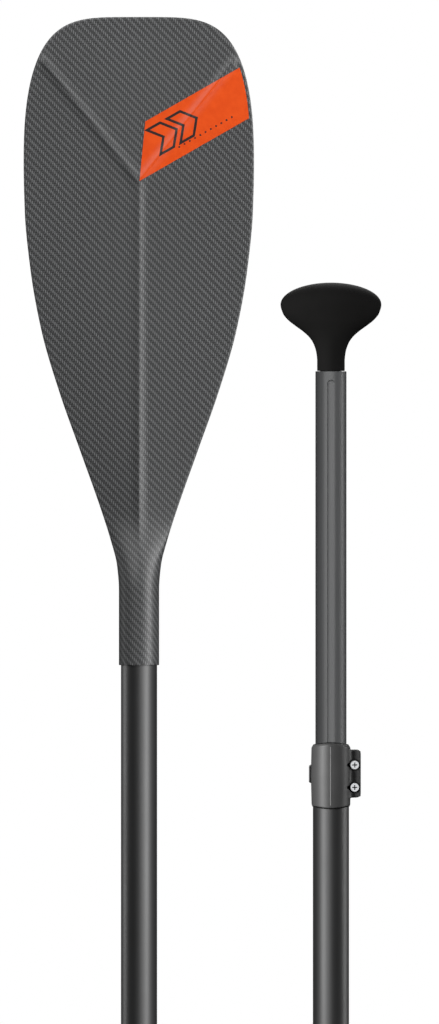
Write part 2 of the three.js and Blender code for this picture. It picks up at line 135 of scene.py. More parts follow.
# Depths below the tip and half widths of the blade.
HALF_WIDTH = (high("blade_front_shell")[0] - low("blade_front_shell")[0]) / 2
WIDEST = 122
JUNCTION = 135.6
RAIL_END = 410
NECK = 474
SOCKET_END = TIP - low("blade_front_shell")[2]
SOCKET_RADIUS = 16.7
EDGE = 2.1
EDGE_ROUND = 1.8
EDGE_DROP = 0.75
SKIN = 1.0
RAKE = math.radians(8)
RAKE_RADIUS = 90
TAPER = [
    (WIDEST, HALF_WIDTH), (160, 94.5), (209, 89.8), (259, 80.8), (309, 66.3), (358, 49),
    (408, 31.3), (433, 23.4), (454, 18.2), (NECK, SOCKET_RADIUS), (540, SOCKET_RADIUS),
]
CROWN_RUN = 120
TIP_ALONG = 2.5
TIP_ACROSS = 4.35
RIB_END = (85.5, 28.0)
RIB_HEIGHT = 1.8
RIB_REACH = 7.5
RIB_CREST = 0.9
RIB_FADE = (380, 462)
RIB_EDGE_FADE = (0.5, 7)
TOW = 1.563

SAME_POINT = 2e-6  # metres; points closer than this are welded
PAST = 5  # how far a cutter runs past what it cuts
ROUND = 128  # steps round a shaft


# ---- curves and outlines


def smooth_curve(points):
    """A smooth curve through points of rising x, with no overshoot between them."""
    xs, ys = np.array(points, float).T
    run = np.diff(xs)
    secant = np.diff(ys) / run
    slope = np.zeros(len(xs))
    product = secant[:-1] * secant[1:]
    total = np.where(product > 0, secant[:-1] + secant[1:], 1)
    slope[1:-1] = np.where(product > 0, 2 * product / total, 0)

    def curve(x):
        x = np.asarray(x, float)
        i = np.clip(np.searchsorted(xs, x, side="left"), 1, len(xs) - 1)
        t = np.clip((x - xs[i - 1]) / run[i - 1], 0, 1)
        bulge = t * (1 - t) * run[i - 1]
        rise = (ys[i] - ys[i - 1]) * t * t * (3 - 2 * t)
        return ys[i - 1] + rise + bulge * ((1 - t) * slope[i - 1] - t * slope[i])

    return curve


def ease(value, start, end):
    t = np.clip((np.asarray(value, float) - start) / (end - start), 0, 1)
    return t * t * (3 - 2 * t)


def rounded(corners, steps=5):
    """A closed outline from (a, b, radius) corners, each turned into an arc."""
    out = []
    for i, (a, b, radius) in enumerate(corners):
        p = np.array((a, b), float)
        if radius <= 0:
            out.append(p)
            continue
        back = np.array(corners[i - 1][:2], float) - p
        on = np.array(corners[(i + 1) % len(corners)][:2], float) - p
        back_length, on_length = np.linalg.norm(back), np.linalg.norm(on)
        back, on = back / back_length, on / on_length
        half = math.acos(max(-1, min(1, back @ on))) / 2
        if half > 1.55:
            out.append(p)
            continue
        cut = min(radius / math.tan(half), 0.48 * back_length, 0.48 * on_length)
        radius = cut * math.tan(half)
        centre = p + (back + on) / np.linalg.norm(back + on) * radius / math.sin(half)
        first, last = p + back * cut - centre, p + on * cut - centre
        start = math.atan2(first[1], first[0])
        sweep = (math.atan2(last[1], last[0]) - start + math.pi) % (2 * math.pi) - math.pi
        for turn in np.linspace(start, start + sweep, steps + 1):
            out.append(centre + radius * np.array((math.cos(turn), math.sin(turn))))
    return np.array(out)


def rectangle(left, right, bottom, top, radii, steps=5):
    """A rounded rectangle; radii are one for all corners, or four from the lower left."""
    radii = radii if isinstance(radii, tuple) else (radii,) * 4
    corners = [(left, bottom), (right, bottom), (right, top), (left, top)]
    return rounded([(*corner, radius) for corner, radius in zip(corners, radii)], steps)


def spaced(outline, step):
    """A closed outline with points added where two neighbours are further apart than step."""
    out = []
    for a, b in zip(outline, np.roll(outline, -1, axis=0)):
        count = max(1, math.ceil(np.linalg.norm(b - a) / step))
        out.extend(a + (b - a) * k / count for k in range(count))
    return np.array(out)


def circle(x, y, radius, steps=48):
    turns = np.linspace(0, 2 * math.pi, steps, endpoint=False)
    return np.stack([x + radius * np.cos(turns), y + radius * np.sin(turns)], 1)


def level_ring(wide, deep, z, steps=96):
    """A level ellipse of points round the Z axis."""
    turns = np.linspace(0, 2 * math.pi, steps, endpoint=False)
    return np.stack([wide * np.cos(turns), deep * np.sin(turns), 0 * turns + z], 1)


# ---- meshes


def grid_faces(rows, columns, wrap_rows=False, wrap_columns=False, start=0):
    i, j = np.meshgrid(
        np.arange(rows if wrap_rows else rows - 1),
        np.arange(columns if wrap_columns else columns - 1),
        indexing="ij",
    )
    down, right = (i + 1) % rows, (j + 1) % columns
    corners = [i * columns + j, i * columns + right, down * columns + right, down * columns + j]
    return (np.stack(corners, -1).reshape(-1, 4) + start).tolist()


def new_object(name, data):
    obj = bpy.data.objects.new(name, data)
    bpy.context.scene.collection.objects.link(obj)
    return obj


def solid(name, points, faces, uv=None):
    """A mesh object from points in millimetres, welded, with its faces pointing out."""
    mesh = bpy.data.meshes.new(name)
    mesh.from_pydata((np.asarray(points, float) * MM).tolist(), [], faces)
    if uv is not None:
        corner = np.zeros(len(mesh.loops), np.int32)
        mesh.loops.foreach_get("vertex_index", corner)
        layer = mesh.uv_layers.new(name="weave")
        layer.data.foreach_set("uv", np.asarray(uv, np.float32)[corner].ravel())
    bm = bmesh.new()
    bm.from_mesh(mesh)
    bmesh.ops.remove_doubles(bm, verts=bm.verts, dist=SAME_POINT)
    bmesh.ops.recalc_face_normals(bm, faces=bm.faces)
    if bm.calc_volume(signed=True) < 0:
        bmesh.ops.reverse_faces(bm, faces=bm.faces)
    bm.to_mesh(mesh)
    bm.free()
    return new_object(name, mesh)


def lathe(name, profile, x=0, y=0, steps=96, forward=None):
    """A turned solid from a closed [radius, height] outline. Upright at x and y, or lying
    along -Y at x and the height forward."""
    turns = np.linspace(0, 2 * math.pi, steps, endpoint=False)
    radius, along = profile[:, :1], profile[:, 1:]
    across = [radius * np.cos(turns), radius * np.sin(turns)]
    if forward is None:
        parts = [across[0] + x, across[1] + y, along + 0 * across[0]]
    else:
        parts = [across[0] + x, -along + 0 * across[0], across[1] + forward]
    points = np.stack(parts, -1).reshape(-1, 3)
    return solid(name, points, grid_faces(len(profile), steps, True, True))


def sweep(name, sections, closed=False):
    """The solid through a row of sections with the same number of points."""
    sections = np.asarray(sections, float)
    rows, columns = sections.shape[:2]
    faces = grid_faces(rows, columns, closed, True)
    if not closed:
        faces += [list(range(columns)), list(range((rows - 1) * columns, rows * columns))]
    return solid(name, sections.reshape(-1, 3), faces)


def prism(name, outline, start, end, axis="y"):
    """An outline in X and Z carried along Y, or one in X and Y carried along Z."""
    order = (0, 2, 1) if axis == "y" else (0, 1, 2)
    ends = [np.insert(outline, 2, at, axis=1)[:, order] for at in (start, end)]
    return sweep(name, ends)


def applied(obj):
    """obj with its modifiers turned into its mesh."""
    bpy.context.view_layer.update()
    graph = bpy.context.evaluated_depsgraph_get()
    mesh = bpy.data.meshes.new_from_object(obj.evaluated_get(graph))
    obj.modifiers.clear()
    obj.data = mesh
    return obj


def combine(obj, others, operation="DIFFERENCE"):
    for other in others:
        change = obj.modifiers.new("combine", "BOOLEAN")
        change.operation, change.object, change.solver = operation, other, "EXACT"
        applied(obj)
        bpy.data.objects.remove(other)
    return obj


def softened(obj, voxel, rounds):
    """obj as one even skin whose edges and inner corners are rounded, as moulded ones are."""
    skin = obj.modifiers.new("skin", "REMESH")
    skin.mode, skin.voxel_size = "VOXEL", voxel * MM
    soft = obj.modifiers.new("soft", "SMOOTH")
    soft.factor, soft.iterations = 0.5, rounds
    return applied(obj)


def place(obj, material, body, nodes, crease=35):
    """Finishes a piece: shading, material, body, and the CAD nodes that it stands for, which are hidden."""
    obj.data.materials.clear()
    obj.data.materials.append(material)
    obj.data.shade_smooth()
    if crease:
        obj.data.set_sharp_from_angle(angle=math.radians(crease))
    if body:
        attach(obj, body)
    if nodes:
        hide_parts(*nodes)
    return obj


# ---- materials


class Nodes:
    """Short calls for one material's nodes. Values are sockets or plain numbers."""

    def __init__(self, name):
        self.material = bpy.data.materials.new(name)
        self.material.use_nodes = True
        self.tree = self.material.node_tree
        self.shader = self.tree.nodes["Principled BSDF"]

    def put(self, socket, value):
        if isinstance(value, bpy.types.NodeSocket):
            self.tree.links.new(value, socket)
        else:
            socket.default_value = value

    def add(self, kind, *values):
        """A new node, with values for its first inputs."""
        node = self.tree.nodes.new("ShaderNode" + kind)
        for socket, value in zip(node.inputs, values):
            self.put(socket, value)
        return node

    def math(self, operation, *values):
        node = self.add("Math", *values)
        node.operation = operation
        return node.outputs[0]

    def plus(self, first, second):
        return self.math("ADD", first, second)

    def minus(self, first, second):
        return self.math("SUBTRACT", first, second)

    def times(self, first, second):
        return self.math("MULTIPLY", first, second)

    def apart(self, first, second):
        return self.math("ABSOLUTE", self.minus(first, second))

    def ranged(self, value, start=0.3, end=0.7, to_start=0.0, to_end=1.0, kind="LINEAR"):
        node = self.add("MapRange", value, start, end, to_start, to_end)
        node.interpolation_type = kind
        return node.outputs[0]

    def about(self, value, centre, spread):
        return self.ranged(value, to_start=centre - spread, to_end=centre + spread)

    def mix(self, share, first, second):
        node = self.add("Mix", share)
        node.data_type = "RGBA"
        for socket, colour in zip(node.inputs[6:8], (first, second)):
            self.put(socket, (*colour, 1) if isinstance(colour, tuple) else colour)
        return node.outputs[2]

    def join(self, x, y):
        return self.add("CombineXYZ", x, y).outputs[0]

    def split(self, vector):
        return self.add("SeparateXYZ", vector).outputs

    def weave(self):
        coords = self.add("UVMap")
        coords.uv_map = "weave"
        return self.split(coords.outputs[0])

    def place(self, scale=(1, 1, 1)):
        """The point on the piece, in metres, times scale."""
        mapping = self.add("Mapping", self.add("TexCoord").outputs["Object"])
        mapping.inputs["Scale"].default_value = scale
        return mapping.outputs[0]

    def noise(self, vector, scale, detail=2.0, roughness=0.5):
        node = self.add("TexNoise", vector)
        self.put(node.inputs["Scale"], scale)
        self.put(node.inputs["Detail"], detail)
        self.put(node.inputs["Roughness"], roughness)
        return node.outputs[0]

    def bump(self, height, distance, strength):
        node = self.add("Bump")
        node.inputs["Strength"].default_value = strength
        node.inputs["Distance"].default_value = distance
        self.put(node.inputs["Height"], height)
        self.put(self.shader.inputs["Normal"], node.outputs[0])

    def set(self, **values):
        for name, value in values.items():
            self.put(self.shader.inputs[name.replace("_", " ")], value)
        return self.material


def grey(value, cool=0.0):
    return (value * (1 - cool), value, value * (1 + cool))


def woven():
    """A 2/2 twill of flat tows under clear resin. The UVs count tows across and up."""
    n = Nodes("woven_skin")
    across, up, _ = n.weave()
    column, row = n.math("FLOOR", across), n.math("FLOOR", up)
    in_column, in_row = n.math("FRACT", across), n.math("FRACT", up)
    step = n.math("FLOORED_MODULO", n.plus(column, row), 4.0)
    warp = n.math("LESS_THAN", step, 1.5)
    weft = n.minus(1.0, warp)

    def chosen(for_warp, for_weft):
        return n.plus(n.times(for_warp, warp), n.times(for_weft, weft))

    warp_run = n.times(n.plus(step, in_row), 0.5)
    weft_run = n.times(n.plus(n.minus(step, 2.0), in_column), 0.5)
    run = chosen(warp_run, weft_run)
    side = n.math("MULTIPLY_ADD", chosen(in_column, in_row), 2.0, -1.0)
    arch = n.math("SINE", n.times(run, math.pi))
    crown = n.minus(1.0, n.math("POWER", n.math("ABSOLUTE", side), 1.6))
    height = n.times(crown, n.math("MULTIPLY_ADD", arch, 0.3, 0.7))
    fibres = chosen(
        n.noise(n.join(n.times(across, 14.0), up), 1.0, 1.0),
        n.noise(n.join(across, n.times(up, 14.0)), 1.0, 1.0),
    )
    wide = n.noise(n.place((9, 9, 4)), 1.0, 2.0)
    light = n.ranged(fibres, 0.25, 0.75, 0.8, 1.2)
    # Each tow is darker toward its sides and the ends of its float, following the bump's height: painted
    # shade in the creases between tows.
    light = n.times(light, n.ranged(height, 0.0, 1.0, 0.0, 1.25))
    light = n.times(light, n.about(wide, 1.0, 0.06))
    tone = n.times(light, chosen(WARP_TONE, WEFT_TONE))
    colour = n.mix(tone, (0.0, 0.0, 0.0), grey(1.0, 0.02))
    n.bump(height, 0.00012, 0.25)
    rough = n.about(fibres, 0.47, 0.03)
    return n.set(Base_Color=colour, Roughness=rough, Specular_IOR_Level=0.5)


def wrapped_tube(name, tone, rough):
    """A cured fibre tube: faint lengthwise fibres and the slow ripple of its wrapping."""
    streak, cool = 0.1, 0.02
    n = Nodes(name)
    fibres = n.noise(n.place((900, 900, 7)), 1.0, 2.0, 0.6)
    slow = n.noise(n.place((14, 14, 9)), 1.0, 2.0)
    share = n.math("MULTIPLY_ADD", fibres, 0.7, n.times(slow, 0.3))
    dark, pale = grey(tone * (1 - streak), cool), grey(tone * (1 + streak), cool)
    n.bump(fibres, 0.00002, 0.3)
    return n.set(
        Base_Color=n.mix(n.ranged(share), dark, pale), Specular_IOR_Level=0.6,
        Roughness=n.about(slow, rough, 0.02),
    )


def moulded(name, tone, rough, grain=2600, relief=0.00003, cool=0.0, level=0.5):
    """Moulded plastic or rubber with a fine spark-eroded grain."""
    n = Nodes(name)
    fine = n.noise(n.place(), grain, 3.0, 0.6)
    slow = n.noise(n.place(), 45.0, 2.0)
    colour = n.mix(n.ranged(slow), grey(tone * 0.9, cool), grey(tone * 1.1, cool))
    n.bump(fine, relief, 0.5)
    return n.set(
        Base_Color=colour, Roughness=n.about(fine, rough, 0.05),
        Specular_IOR_Level=level,
    )


def foam():
    """Closed-cell foam: small packed cells."""
    n = Nodes("cell_foam")
    cells = n.add("TexVoronoi", n.place())
    n.put(cells.inputs["Scale"], 900.0)
    depth = n.ranged(cells.outputs["Distance"], 0.0, 0.6)
    n.bump(depth, 0.0003, 0.6)
    # The colour follows the bump's map, so each cell's hollow is darker than its rim: painted shade in the
    # hollows.
    return n.set(Base_Color=n.mix(depth, (0.52, 0.50, 0.43), (0.72, 0.70, 0.62)), Roughness=0.92)


def metal(name, colour, rough):
    """Turned or rolled metal with faint tool marks."""
    n = Nodes(name)
    marks = n.noise(n.place((600, 60, 600)), 1.0, 3.0)
    dark = tuple(c * 0.82 for c in colour)
    n.bump(marks, 0.00001, 0.4)
    return n.set(
        Base_Color=n.mix(n.ranged(marks), dark, colour), Metallic=1.0,
        Roughness=n.about(marks, rough, 0.06),
    )


def printed_film():
    """The orange film with a plain mark of two outlined chevrons and a dotted line. The UVs
    are millimetres along the film's slope and up across it."""
    mark_up, point = 22.0, 0.8
    pitch, count, start = 19.0, 2, 32.0
    outside, inside = (7.6, 12.5), (4.9, 10.4)
    dot_pitch, dot_height, dot_radius = 5.0, 8.2, 0.8
    dots_middle, dots_half = 67.5, 27.5
    n = Nodes("orange_film")
    along, up, _ = n.weave()
    arrow = n.math("MULTIPLY_ADD", n.apart(up, mark_up), point, along)

    def within(value, centre, half):
        return n.math("LESS_THAN", n.apart(value, centre), half)

    def both(*masks):
        share = masks[0]
        for mask in masks[1:]:
            share = n.times(share, mask)
        return share

    cell = n.math("FLOORED_MODULO", n.minus(arrow, start), pitch)
    in_row = within(arrow, start + count * pitch / 2, count * pitch / 2)
    outer = both(in_row, within(cell, pitch / 2, outside[0]), within(up, mark_up, outside[1]))
    inner = both(within(cell, pitch / 2, inside[0]), within(up, mark_up, inside[1]))
    outline = n.times(outer, n.minus(1.0, inner))
    dot_along = n.minus(n.math("FLOORED_MODULO", along, dot_pitch), dot_pitch / 2)
    dot_up = n.minus(up, dot_height)
    squares = [n.math("POWER", n.math("ABSOLUTE", side), 2.0) for side in (dot_along, dot_up)]
    reach = n.math("POWER", n.plus(*squares), 0.5)
    dots = both(n.math("LESS_THAN", reach, dot_radius), within(along, dots_middle, dots_half))
    ink = n.math("MAXIMUM", outline, dots)
    speckle = n.noise(n.place(), 160.0, 2.0)
    orange = n.mix(n.ranged(speckle), ORANGE_DARK, ORANGE_LIGHT)
    n.bump(n.noise(n.place(), 700.0, 2.0), 0.00004, 0.3)
    return n.set(
        Base_Color=n.mix(ink, orange, (0.012, 0.01, 0.01)),
        Roughness=n.ranged(ink, 0.0, 1.0, 0.4, 0.5),
        Specular_IOR_Level=0.3, Coat_Weight=0.05, Coat_Roughness=0.2,
    )


WARP_TONE = 0.103
WEFT_TONE = 0.043
ORANGE_DARK = (0.53, 0.050, 0.003)
ORANGE_LIGHT = (0.58, 0.062, 0.005)

WOVEN = woven()
GLOSS_TUBE = wrapped_tube("gloss_tube", 0.010, 0.5)
SATIN_TUBE = wrapped_tube("satin_tube", 0.09, 0.45)
CLAMP_PLASTIC = moulded("clamp_plastic", 0.06, 0.5, relief=0.00002)
CLAMP_LINE = moulded("clamp_line", 0.20, 0.45, relief=0.00002)
# Near-black rubber for the rings at the collar's ends, which stand in as painted shadow lines.
SHADE_RING_BLACK = moulded("shade_ring_black", 0.006, 0.8, relief=0.00002, level=0.1)
BLACK_PLASTIC = moulded("black_plastic", 0.018, 0.55)
GRIP_RUBBER = moulded("grip_rubber", 0.010, 0.85, grain=1900, relief=0.00006, cool=-0.03, level=0.12)
FOAM = foam()
# Dark metal for the faces inside the screws' cross recesses: painted shade.
RECESS_SHADE = metal("screw_recess_shade", (0.07, 0.07, 0.072), 0.6)
STEEL = metal("screw_steel", (0.80, 0.81, 0.83), 0.38)
BRASS = metal("nut_brass", (0.72, 0.55, 0.25), 0.35)
ORANGE_FILM = printed_film()


# ---- blade


taper = smooth_curve(TAPER)
front_crown = smooth_curve([(0, 2.2), (135, 2.5), (360, 6), (540, 6)])
back_crown = smooth_curve([(0, 0.6), (135, 1.2), (360, 4), (540, 4)])


def outline_x(depth):
    """Half the blade's width at a depth below the tip."""
    depth = np.asarray(depth, float)
    rise = np.clip((WIDEST - depth) / WIDEST, 0, 1)
    upper = HALF_WIDTH * (1 - rise ** TIP_ALONG) ** (1 / TIP_ACROSS)
    return np.where(depth < WIDEST, upper, taper(depth))


def outline_rows(last, turn_step, depth_step):
    """[half width, depth] rows from the tip down, close together where the outline turns."""
    turns = np.radians(np.concatenate([[0.02, 0.3], np.arange(0.8, 90, turn_step)]))
    upper_x = HALF_WIDTH * np.sin(turns) ** (2 / TIP_ACROSS)
    upper_depth = WIDEST * (1 - np.cos(turns) ** (2 / TIP_ALONG))
    depths = np.linspace(WIDEST, last, math.ceil((last - WIDEST) / depth_step))
    lower = np.stack([taper(depths), depths], 1)
    return np.concatenate([np.stack([upper_x, upper_depth], 1), lower])


def roundness(depth):
    return ease(depth, RAIL_END, NECK)


def lean(depth):
    above = np.clip(NECK - np.asarray(depth, float), 0, None)
    return -math.tan(RAKE) * (np.hypot(above, RAKE_RADIUS) - RAKE_RADIUS)


def edge_distance(x, depth):
    """About how far a point on the plate is from its outline."""
    rise = np.clip((WIDEST - depth) / WIDEST, 0, 1)
    share = np.abs(x) / HALF_WIDTH
    level = share ** TIP_ACROSS + rise ** TIP_ALONG
    slope_x = TIP_ACROSS / HALF_WIDTH * share ** (TIP_ACROSS - 1)
    slope_depth = TIP_ALONG / WIDEST * rise ** (TIP_ALONG - 1)
    upper = (1 - level) / np.maximum(np.hypot(slope_x, slope_depth), 1e-6)
    return np.clip(np.where(depth < WIDEST, upper, taper(depth) - np.abs(x)), 0, None)


def rib(x, depth):
    """How far the three ribs stand above the front face."""
    ax = np.abs(x)
    spine = np.where(depth > JUNCTION, ax, np.hypot(ax, JUNCTION - depth))
    run = np.array((RIB_END[0], RIB_END[1] - JUNCTION))
    length = np.linalg.norm(run)
    run = run / length
    along = np.clip(ax * run[0] + (depth - JUNCTION) * run[1], 0, length)
    diagonal = np.hypot(ax - along * run[0], depth - JUNCTION - along * run[1])
    blend = np.clip(0.5 + (spine - diagonal) / 4, 0, 1)
    near = spine * (1 - blend) + diagonal * blend - 2 * blend * (1 - blend)
    near = np.sqrt(np.maximum(near, 0) ** 2 + RIB_CREST ** 2) - RIB_CREST
    fade = (1 - ease(depth, *RIB_FADE)) * ease(edge_distance(x, depth), *RIB_EDGE_FADE)
    return RIB_HEIGHT * fade * np.clip(1 - near / RIB_REACH, 0, 1) ** 2


def plate(x, depth, front):
    """How far the plate's face stands from the middle surface."""
    if not front:
        return EDGE + back_crown(depth) * (1 - (x / taper(depth)) ** 2)
    reach = np.where(depth < JUNCTION, HALF_WIDTH, taper(depth))
    side = 1 - np.abs(x) / reach
    top = 1 - (JUNCTION - depth) / CROWN_RUN
    return EDGE + front_crown(depth) * np.clip(np.minimum(side, top), 0, None)


def blade_face(rows, shares, front, sunk):
    """One face of the blade, or of a layer sunk below it, as a grid of points, and its UVs."""
    reach, depth = rows[:, :1], rows[:, 1:]
    turned = roundness(depth)
    across = (1 - turned) * shares + turned * np.sin(shares * math.pi / 2)
    x = (reach - turned * sunk) * across
    flat = plate(x, depth, front) - sunk
    if sunk == 0:
        near = np.clip(edge_distance(x, depth) / EDGE_ROUND, 0, 1)
        flat = flat - EDGE_DROP * (1 - np.sqrt(1 - (1 - near) ** 2))
    dome = (SOCKET_RADIUS - sunk) * np.sqrt(np.clip(1 - across ** 2, 0, 1))
    stand = (1 - turned) * flat + turned * dome + GAP / 2
    if front and sunk == 0:
        stand = stand + rib(x, depth)
    y = lean(depth) + (-stand if front else stand)
    z = TIP - depth + 0 * x
    wrap = (1 - turned) * x + turned * SOCKET_RADIUS * shares * math.pi / 2
    points = np.stack([x + BLADE_X, y, z], -1)
    return points, np.stack([wrap / TOW, (z - TIP) / TOW], -1)


def strip(first, second, first_at, second_at):
    """Triangles between two rows of points with different spacing."""
    faces, i, j = [], 0, 0
    while i < len(first) - 1 or j < len(second) - 1:
        if j == len(second) - 1 or (i < len(first) - 1 and first_at[i + 1] <= second_at[j + 1]):
            faces.append([first[i], first[i + 1], second[j]])
            i += 1
        else:
            faces.append([first[i], second[j + 1], second[j]])
            j += 1
    return faces


def layered(name, rows, front, outer_shares, sunk_outer, sunk_inner):
    """A layer of the blade: a fine outer face, a plainer inner one, and the rim between."""
    plain = 17
    inner_shares = np.linspace(-1, 1, plain)
    outer, outer_uv = blade_face(rows, outer_shares, front, sunk_outer)
    inner, inner_uv = blade_face(rows, inner_shares, front, sunk_inner)
    count, columns = len(rows), len(outer_shares)
    base = count * columns
    faces = grid_faces(count, columns) + grid_faces(count, plain, start=base)
    for row in (0, count - 1):
        first = [row * columns + k for k in range(columns)]
        second = [base + row * plain + k for k in range(plain)]
        faces += strip(first, second, outer_shares, inner_shares)
    for outer_column, inner_column in ((0, 0), (columns - 1, plain - 1)):
        for i in range(count - 1):
            a, b = i * columns + outer_column, (i + 1) * columns + outer_column
            c = base + i * plain + inner_column
            faces.append([a, b, c + plain, c])
    points = np.concatenate([outer.reshape(-1, 3), inner.reshape(-1, 3)])
    uv = np.concatenate([outer_uv.reshape(-1, 2), inner_uv.reshape(-1, 2)])
    return solid(name, points, faces, uv)


def edge_shares(count):
    """Places across the blade from -1 to 1, closer together at its edges."""
    near = 1 - np.array([0, 0.12, 0.35, 0.7, 1.15, 1.75]) / HALF_WIDTH
    inside = np.linspace(-0.972, 0.972, count)
    return np.concatenate([-near, inside, near[::-1]])


def blade_skin(front):
    rows = outline_rows(SOCKET_END - 0.8, 0.9 if front else 1.5, 2.0 if front else 4.0)
    lip = ((0.05, 0.4), (0.25, 0.1), (0.5, 0))
    lips = [[SOCKET_RADIUS - cut, SOCKET_END - up] for cut, up in lip]
    rows = np.concatenate([rows, lips])
    name = "front" if front else "back"
    shares = edge_shares(189 if front else 95)
    skin = layered(f"blade_{name}_skin", rows, front, shares, 0, SKIN)
    place(skin, WOVEN, "blade_section", [f"blade_{name}_shell"])


def blade_core():
    inset = 4.6
    rows = outline_rows(NECK - 6, 3, 6)
    rows = rows[(rows[:, 0] > 24) & (rows[:, 1] > 1)]
    inward = inset * (1 - roundness(rows[:, 1]))
    scale = (WIDEST - inset) / WIDEST
    upper = rows[:, 1] < WIDEST
    rows = np.stack([
        np.where(upper, rows[:, 0] * (HALF_WIDTH - inset) / HALF_WIDTH, rows[:, 0] - inward),
        np.where(upper, WIDEST - (WIDEST - rows[:, 1]) * scale, rows[:, 1]),
    ], 1)
    shares = np.linspace(-1, 1, 41)
    sunk = SKIN + GAP
    front, _ = blade_face(rows, shares, True, sunk)
    back, _ = blade_face(rows, shares, False, sunk)
    sections = np.concatenate([front, back[:, ::-1]], axis=1)
    place(sweep("blade_foam_core", sections), FOAM, "blade_section", ["blade_core"])


def edge_rail():
    """The strip that shows between the two skins all round the blade's edge."""
    half = EDGE - SKIN - GAP / 2
    rows = outline_rows(RAIL_END, 1.5, 4)
    path = np.concatenate([rows[::-1] * (-1, 1), rows])
    ahead = np.gradient(path, axis=0)
    ahead /= np.linalg.norm(ahead, axis=1)[:, None]
    inward = np.stack([-ahead[:, 1], ahead[:, 0]], 1)
    out, deep = 0.15, 4
    section = rounded([(out, -half, 0.8), (out, half, 0.8), (deep, half, 0.3), (deep, -half, 0.3)], 4)
    sections = []
    for (x, depth), (nx, nd) in zip(path, inward):
        sections.append([
            (x + a * nx + BLADE_X, lean(depth + a * nd) + b, TIP - depth - a * nd)
            for a, b in section
        ])
    rail = sweep("blade_edge_strip", sections)
    place(rail, BLACK_PLASTIC, "blade_section", ["blade_edge_rail"])


def film():
    """The orange film on the front skin, over the right-hand rib."""
    # Upper and lower corners, across from the spine and below the tip.
    left, right = np.array([(5.4, 86.3), (0.6, 135.4)]), np.array([(84.0, 41.7), (91.4, 83.5)])
    inset = 2.9
    down = np.linspace(0, 1, 70)[:, None]
    over = np.linspace(0, 1, 120)[None, :]
    right_depth, left_x, left_depth = (
        edge[0, k] + (edge[1, k] - edge[0, k]) * down for edge, k in ((right, 1), (left, 0), (left, 1))
    )
    right_x = outline_x(right_depth) - inset
    x = left_x + (right_x - left_x) * over
    depth = left_depth + (right_depth - left_depth) * over

    def layer(stand):
        y = lean(depth) - plate(x, depth, True) - rib(x, depth) - GAP / 2 - stand
        return np.stack([x + BLADE_X, y, TIP - depth], -1)

    top, under = layer(0.2), layer(0.06)
    rows, columns = x.shape
    base = rows * columns
    faces = grid_faces(rows, columns) + grid_faces(rows, columns, start=base)
    rim = list(range(columns)) + [i * columns + columns - 1 for i in range(1, rows)]
    rim += [base - 1 - k for k in range(1, columns)] + [i * columns for i in range(rows - 2, 0, -1)]
    faces += [[a, b, base + b, base + a] for a, b in zip(rim, rim[1:] + rim[:1])]
    slope = math.atan2(left[0, 1] - right[0, 1], right[0, 0] - left[0, 0])
    from_left, above = x - left[1, 0], left[1, 1] - depth
    uv = np.stack([
        from_left * math.cos(slope) + above * math.sin(slope),
        above * math.cos(slope) - from_left * math.sin(slope),
    ], -1).reshape(-1, 2)
    points = np.concatenate([top.reshape(-1, 3), under.reshape(-1, 3)])
    obj = solid("blade_film", points, faces, np.concatenate([uv, uv]))
    place(obj, ORANGE_FILM, "blade_section", [])


blade_skin(True)
blade_skin(False)
blade_core()
edge_rail()
film()


# ---- tubes and plugs


BUTTON_HOLE = 3.5
TUBE_BORE = 11.1
FRONT_WALL = (-20, -5)


def tube_profile(inner, outer, bottom, top, lip=0.35, step=9):
    radii = (lip / 2, lip, lip, lip / 2)
    return spaced(rectangle(inner, outer, bottom, top, radii, 4), step)


def plug(name, node, body):
    """A foam stopper with soft edges and hollowed ends."""
    (x, _, _), radius = middle(node), high(node)[0] - middle(node)[0]
    bottom, top = heights_of(node)
    turns = np.linspace(0, 1, 9)
    hollow = [(radius * 0.82 * t, 1.2 * (1 - t * t)) for t in turns]
    lower = [(r, bottom + dip) for r, dip in hollow]
    upper = [(r, top - dip) for r, dip in reversed(hollow)]
    side = rounded([(radius, bottom, 1.6), (radius, top, 1.6), (0, top, 0), (0, bottom, 0)])[:12]
    profile = spaced(np.array(lower + side.tolist() + upper), 4)
    place(lathe(name, profile, x=x), FOAM, body, [node])


def lower_section():
    bottom, top = heights_of("lower_shaft")
    profile = tube_profile(SHAFT_INNER, SHAFT_OUTER, bottom, top)
    shaft = lathe("lower_tube", profile, x=BLADE_X, steps=ROUND)
    place(shaft, GLOSS_TUBE, "blade_section", ["lower_shaft"])

    outer = high("ferrule")[0] - BLADE_X
    inner = 11.5
    button_height = middle("snap_button")[2]
    profile = tube_profile(inner, outer, 0, high("ferrule")[2], 0.6, 5)
    sleeve = lathe("joint_sleeve", profile, x=BLADE_X, steps=ROUND)
    hole = prism("hole", circle(BLADE_X, button_height, BUTTON_HOLE), *FRONT_WALL)
    place(combine(sleeve, [hole]), SATIN_TUBE, "blade_section", ["ferrule"], 30)

    bottom, top = heights_of("stop_ring")
    outline = rectangle(outer + GAP, 15, bottom, top, (0.2, 0.7, 0.7, 0.2))
    ring = lathe("shoulder_ring", outline, x=BLADE_X)
    place(ring, BLACK_PLASTIC, "blade_section", ["stop_ring"])


def button():
    height = middle("snap_button")[2]
    tip = -low("snap_button")[1]
    foot, shoulder, flange, stem = 9.2, 10.2, 4.5, 3.2
    corners = [
        (0, foot, 0), (flange, foot, 0.2), (flange, shoulder, 0.2), (stem, shoulder, 0.15),
        (stem, tip - 0.1, 1.3), (0, tip, 0),
    ]
    obj = lathe("press_button", spaced(rounded(corners, 7), 1.5), x=BLADE_X, forward=height, steps=56)
    place(obj, STEEL, "button", ["snap_button"])


